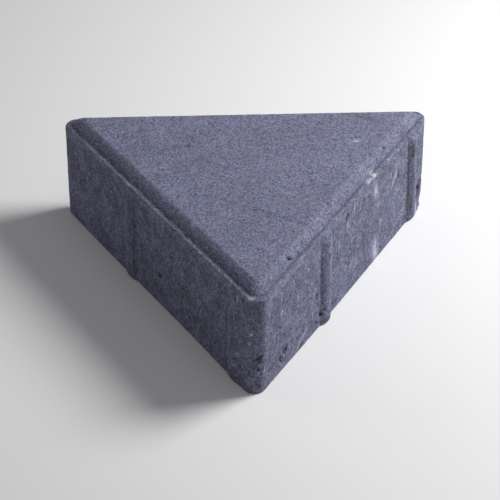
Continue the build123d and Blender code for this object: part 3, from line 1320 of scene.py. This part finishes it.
class WeatheringAndPaintedLight:
    """Moves the shell's points for relief, pores and chips, and colours the marks, painted shade and painted
    highlights among them.
    """

    PORE_REACH = 1.5
    PORE_BRIM = 1.25
    PATCH_REACH = 2.2

    def __init__(
        self, block: PavingBlock, shell: Shell, wear_and_painted_light: WearAndPaintedLight, relief: CastRelief, tone: EdgeTone
    ) -> None:
        """Gathers the shell's points.

        Args:
            block: The block that the shell belongs to.
            shell: Its nominal surface.
            wear_and_painted_light: Marks to put on it.
            relief: Its rough surface.
            tone: Painted shade of its ledge's nook and slope, and pale bands of its lip and bevel, partly
                worn pale and partly painted highlight.
        """
        self.block = block
        self.wear_and_painted_light = wear_and_painted_light
        self.relief = relief
        self.tone = tone
        self.places = np.vstack(shell.places)
        self.facings = np.vstack(shell.facings)
        self.drawn = np.concatenate(shell.drawn)
        self.inset = self.inset_from((0.0, 0.0))
        self.above = self.places[:, 2] - block.ledge_height
        self.sunk = np.zeros(len(self.places))
        self.stains_and_painted_light = {stain_and_painted_light: np.zeros(len(self.places)) for stain_and_painted_light in StainAndPaintedLight}
        self.draw = np.random.default_rng(block.seed)
        self.grain = GrainField(block.seed)
        self.bites = self.grain.layered(self.places, relief.bites)
        self.tree = kdtree.KDTree(len(self.places))
        for number, place in enumerate(self.places):
            self.tree.insert(place, number)
        self.tree.balance()

    def inset_from(self, shift: tuple[float, float]) -> np.ndarray:
        """How far each point lies inside the sides of a plan that is moved by a shift."""
        plan = self.places[:, :2] - shift
        return self.block.side_distance - np.max([plan @ side.outward for side in SIDES], axis=0)

    def spot(self, face: Face, across: float, up: float) -> np.ndarray:
        """Where a mark lies.

        Args:
            face: The face that carries it.
            across: Along a side from its first corner, or x on the top face.
            up: Height on a side, or y on the top face.

        Returns:
            The nearest point of the surface.
        """
        if face is TOP:
            place = (across, up, self.block.thickness)
        else:
            flat = face.outward * self.block.side_distance + face.onward * (across - self.block.half_side)
            place = (*flat, up)
        return np.array(self.tree.find(place)[0])

    def near(self, place: np.ndarray, reach: float) -> tuple[np.ndarray, np.ndarray]:
        """Points close to a place.

        Args:
            place: The place.
            reach: How far away they may be.

        Returns:
            Their numbers and their distances.
        """
        found = self.tree.find_range(place, reach)
        return np.array([hit[1] for hit in found], dtype=int), np.array([hit[2] for hit in found])

    def lying(self, way: float) -> np.ndarray:
        """How far the surface lies flat and looks up, or down where way is -1, from 0 to 1."""
        return eased((way * self.facings[:, 2] - 0.3) / 0.6)

    def roughen(self) -> None:
        """Lowers the surface by the waves of the mould, the sand of the top and the streaks of the sides."""
        depths = self.relief
        top, under = self.lying(1.0), self.lying(-1.0)
        waves = self.grain.at(self.places, depths.waves)
        sand = self.grain.layered(self.places, depths.sand)
        streaks = self.grain.layered(self.places, depths.streaks)
        coarse = self.grain.layered(self.places, depths.coarse)
        coarse *= eased((self.inset - 1.5) / 6.0)
        relief = waves + sand * np.maximum(top, 1.0 - self.drawn) + streaks * self.drawn + coarse * under
        calm = eased(1.0 - self.places[:, 2] / 4.0) * eased(1.0 - (self.inset - 1.0) / 3.0)
        relief *= 1.0 - depths.foot_calm * calm
        flat = np.maximum(top, under)
        upright = depths.left_depth + depths.right_depth * self.block.sunny(self.places[:, :2]) - relief
        level = np.clip(depths.top_depth + depths.under_depth * under - relief, 0.0, None)
        self.sunk += flat * level + (1.0 - flat) * upright

    def bore(self, place: np.ndarray, radius: float, depth: float, earth: float = 0.0) -> None:
        """Sinks one pore and darkens it with painted shade that grows with its depth.

        Args:
            place: Its middle.
            radius: Its radius.
            depth: Its depth.
            earth: How much earth lies in it.
        """
        numbers, gaps = self.near(place, radius * self.PORE_REACH)
        like = self.facings[numbers] @ self.facings[numbers[np.argmin(gaps)]] > 0.5
        numbers, gaps = numbers[like], gaps[like]
        ragged = 1.0 + self.grain.at(self.places[numbers], self.relief.ragged)
        bowl = eased(self.PORE_BRIM - gaps / radius * ragged)
        self.sunk[numbers] += depth * bowl
        # Painted shade in the pore, darker for deeper pores.
        self.colour(PAINTED_SHADE, numbers, bowl * min(1.0, depth / self.relief.full_painted_shade_depth))
        self.colour(EARTH, numbers, bowl * earth)

    def colour(self, stain_and_painted_light: StainAndPaintedLight, numbers: np.ndarray, strength: np.ndarray) -> None:
        """Lays a mark's value, painted light included, on points that do not have more of it yet."""
        held = self.stains_and_painted_light[stain_and_painted_light]
        held[numbers] = np.maximum(held[numbers], strength)

    def pit(self) -> None:
        """Sinks the placed pores and clusters, and the fine scattered pores of all faces."""
        for pore in self.wear_and_painted_light.pores:
            self.bore(self.spot(pore.face, pore.across, pore.up), pore.radius, pore.depth, pore.earth)
        for cluster in self.wear_and_painted_light.clusters:
            for _ in range(cluster.count):
                across, up = self.draw.normal(0.0, 0.6, 2) * cluster.spread
                size = self.draw.uniform(0.55, 1.25)
                place = self.spot(cluster.face, cluster.across + across, cluster.up + up)
                self.bore(place, cluster.radius * size, cluster.depth * size, cluster.earth)
        facing_up = self.facings[:, 2]
        self.scatter(facing_up > 0.9, self.wear_and_painted_light.top_pores)
        self.scatter((np.abs(facing_up) < 0.5) & (self.places[:, 2] > 4.0), self.wear_and_painted_light.side_pores)
        self.scatter((facing_up < -0.9) & (self.inset > 5.0), self.wear_and_painted_light.under_pores)

    def scatter(self, where: np.ndarray, pores: Scatter) -> None:
        """Sinks small pores at seeded places.

        Args:
            where: True for the points that may carry one.
            pores: How many there are, and their sizes.
        """
        for number in self.draw.choice(np.flatnonzero(where), pores.count):
            self.bore(self.places[number], self.draw.uniform(*pores.radius), self.draw.uniform(*pores.depth))

    def chip(self) -> None:
        """Wears the foot of the walls and the lip of the ledge."""
        foot = eased(1.0 - self.places[:, 2] / self.relief.foot_reach) * (self.facings[:, 2] < 0.7)
        lip = eased(1.0 - np.abs(self.above) / self.relief.lip_reach) * (self.drawn > 0.2)
        self.sunk += foot * self.relief.foot_bite * np.clip(self.bites - 0.25, 0.0, None)
        self.sunk += lip * self.relief.lip_bite * np.clip(self.bites - 0.1, 0.0, None)

    def shade_edge(self) -> None:
        """Darkens the nook of the ledge and the slope above it with painted shade, and pales the lip's rim
        and a band of the rounded edge on the lit side, each partly worn pale and partly painted highlight.
        """
        tone, plan = self.tone, self.places[:, :2]
        across, everywhere = self.block.across, np.arange(len(self.places))
        within = self.inset_from(self.block.head_shift) - self.block.ledge_inset
        # Painted shade in the nook of the ledge, stronger on the right, and on the slope above it.
        nook = np.exp(-((within / across(plan, tone.nook_width)) ** 2) - (self.above / tone.nook_height) ** 2)
        self.colour(PAINTED_SHADE, everywhere, nook * across(plan, tone.nook_painted_shade))
        slope = np.exp(-((np.clip(within, 0.0, None) / across(plan, tone.slope_width)) ** 2))
        slope *= (within > -0.3) * (self.above > -0.5)
        self.colour(PAINTED_SHADE, everywhere, slope * across(plan, tone.slope_painted_shade))
        # Pale rim on lips that face left: partly worn pale, partly painted highlight.
        rim = eased(1.2 - self.inset / tone.rim_width)
        rim *= eased(1.0 - np.abs(self.above + tone.rim_drop) / tone.rim_height)
        rim *= (self.facings[:, :2] @ LEFT.outward > 0.1) * (0.7 + 0.4 * self.bites)
        self.colour(LIME_AND_HIGHLIGHT, everywhere, tone.rim_lime_and_highlight * np.clip(rim, 0.0, 1.0))
        # Pale band on the bevel of the lit right half: partly worn pale, partly painted highlight.
        worn = np.exp(-(((within - tone.worn_highlight_inset) / tone.worn_highlight_width) ** 2)) * self.block.sunny(plan)
        worn *= (self.above > 0.5) * (0.8 + 0.3 * self.bites)
        self.colour(LIME_AND_HIGHLIGHT, everywhere, tone.worn_lime_and_highlight * np.clip(worn, 0.0, 1.0))

    def open_patches(self) -> None:
        """Marks where the drawn sides are coarse and open."""
        pitted = 0.42 + self.grain.layered(self.places, self.relief.pitting)
        self.stains_and_painted_light[PITTED] = np.clip(pitted, 0.0, 0.8) * (self.drawn > 0.6)

    def patch(
        self, face: Face, across: float, up: float, reach: tuple[float, float], lean: float
    ) -> tuple[np.ndarray, np.ndarray]:
        """Points of a soft patch.

        Args:
            face: The face that carries it.
            across: Along a side from its first corner, or x on the top face.
            up: Height on a side, or y on the top face.
            reach: Half of its length each way.
            lean: How far it goes across for each millimetre up.

        Returns:
            The points' numbers, and how far they belong to the patch, from 0 to 1.
        """
        middle = self.spot(face, across, up)
        numbers, _ = self.near(middle, self.PATCH_REACH * max(reach))
        away = self.places[numbers] - middle
        if face is TOP:
            aside, rise = away[:, 0], away[:, 1]
        else:
            aside, rise = away[:, :2] @ face.onward, away[:, 2]
        aside = aside - lean * rise
        return numbers, np.exp(-((aside / reach[0]) ** 2) - (rise / reach[1]) ** 2)

    def smear(self) -> None:
        """Lays the coloured patches."""
        for mark in self.wear_and_painted_light.smears:
            numbers, fade = self.patch(mark.face, mark.across, mark.up, mark.reach, mark.lean)
            self.colour(mark.stain_and_painted_light, numbers, mark.strength * fade)

    def swell(self) -> None:
        """Raises the lumps."""
        for lump in self.wear_and_painted_light.lumps:
            numbers, fade = self.patch(lump.face, lump.across, lump.up, lump.reach, 0.0)
            outward = np.clip(self.facings[numbers, :2] @ lump.face.outward, 0.0, 1.0)
            self.sunk[numbers] -= lump.height * fade * outward

    def work(self) -> np.ndarray:
        """Does all of it.

        Returns:
            The worn points.
        """
        self.roughen()
        self.swell()
        self.chip()
        self.shade_edge()
        self.open_patches()
        self.pit()
        self.smear()
        return self.block.leaned(self.places - self.facings * self.sunk[:, None])


class CastPiece:
    """The block's Blender object: worn mesh, attributes, map and finish."""

    NAME = "cast_block"
    MAP = "OFBake"
    STRIP_GAP = 6.0
    STRIP_HIGH = 80.0
    STRIP_WIDE = 205.0

    def __init__(self, block: PavingBlock, wear_and_painted_light: WearAndPaintedLight, finish: ConcreteFinishAndPaintedLight) -> None:
        """Keeps what the piece is made from.

        Args:
            block: Sizes and nominal surface.
            wear_and_painted_light: Marks on it.
            finish: Its material.
        """
        self.block = block
        self.wear_and_painted_light = wear_and_painted_light
        self.finish = finish

    def build(self, low: Vector, high: Vector) -> bpy.types.Object:
        """Makes the object and puts it in the node's place.

        Args:
            low: Lowest corner of the node, in metres.
            high: Highest corner of the node, in metres.

        Returns:
            The object.
        """
        shell = self.block.surface()
        weathering_and_painted_light = WeatheringAndPaintedLight(self.block, shell, self.wear_and_painted_light, CastRelief(), EdgeTone())
        places = np.clip(weathering_and_painted_light.work() / METRE, low, high)
        mesh = bpy.data.meshes.new(self.NAME)
        mesh.from_pydata(places.tolist(), [], shell.faces)
        mesh.polygons.foreach_set("use_smooth", np.ones(len(mesh.polygons), dtype=bool))
        values = {stain_and_painted_light.value: weathering_and_painted_light.stains_and_painted_light[stain_and_painted_light] for stain_and_painted_light in StainAndPaintedLight}
        values["drawn"] = weathering_and_painted_light.drawn
        for name, value in values.items():
            attribute = mesh.attributes.new(name, "FLOAT", "POINT")
            attribute.data.foreach_set("value", value.astype(np.float32))
        self.map_out(mesh, shell)
        mesh.update()
        piece = bpy.data.objects.new(self.NAME, mesh)
        bpy.context.scene.collection.objects.link(piece)
        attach(piece, "root")
        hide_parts(NODE)
        return piece

    def map_out(self, mesh: bpy.types.Mesh, shell: Shell) -> None:
        """Lays the sides' strips and the two flat faces side by side on one map.

        Args:
            mesh: The mesh to map.
            shell: The shell with each face's place on its own strip or face.
        """
        half = self.STRIP_WIDE / 2.0
        spots = []
        for corner in chain.from_iterable(shell.spots):
            if len(corner) == 3:
                u, v, part = corner
                spots.append((u + self.STRIP_GAP, v + self.STRIP_GAP + part * self.STRIP_HIGH))
            else:
                spots.append((corner[0] + self.STRIP_WIDE + half, corner[1] + half * 1.2))
        layer = mesh.uv_layers.new(name=self.MAP)
        layer.data.foreach_set("uv", (np.array(spots) / (2.0 * self.STRIP_WIDE)).ravel())

    def dress(self, piece: bpy.types.Object) -> None:
        """Gives the piece its finish."""
        piece.data.materials.append(self.finish.material())


def main() -> None:
    """Builds the block and its studio."""
    logging.basicConfig(level=logging.INFO, format="%(name)s: %(message)s")
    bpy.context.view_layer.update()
    low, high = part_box(NODE)
    block = PavingBlock.from_frame(low, high)
    cast = CastPiece(block, WearAndPaintedLight(), ConcreteFinishAndPaintedLight())
    piece = cast.build(low, high)
    cast.dress(piece)
    piece.data.calc_loop_triangles()
    points, triangles = len(piece.data.vertices), len(piece.data.loop_triangles)
    log.info("%s: %d points, %d triangles", piece.name, points, triangles)
    Studio().set_up()
    log.info("studio: floor, three lamps, room light and camera")


if __name__ == "__main__":
    main()
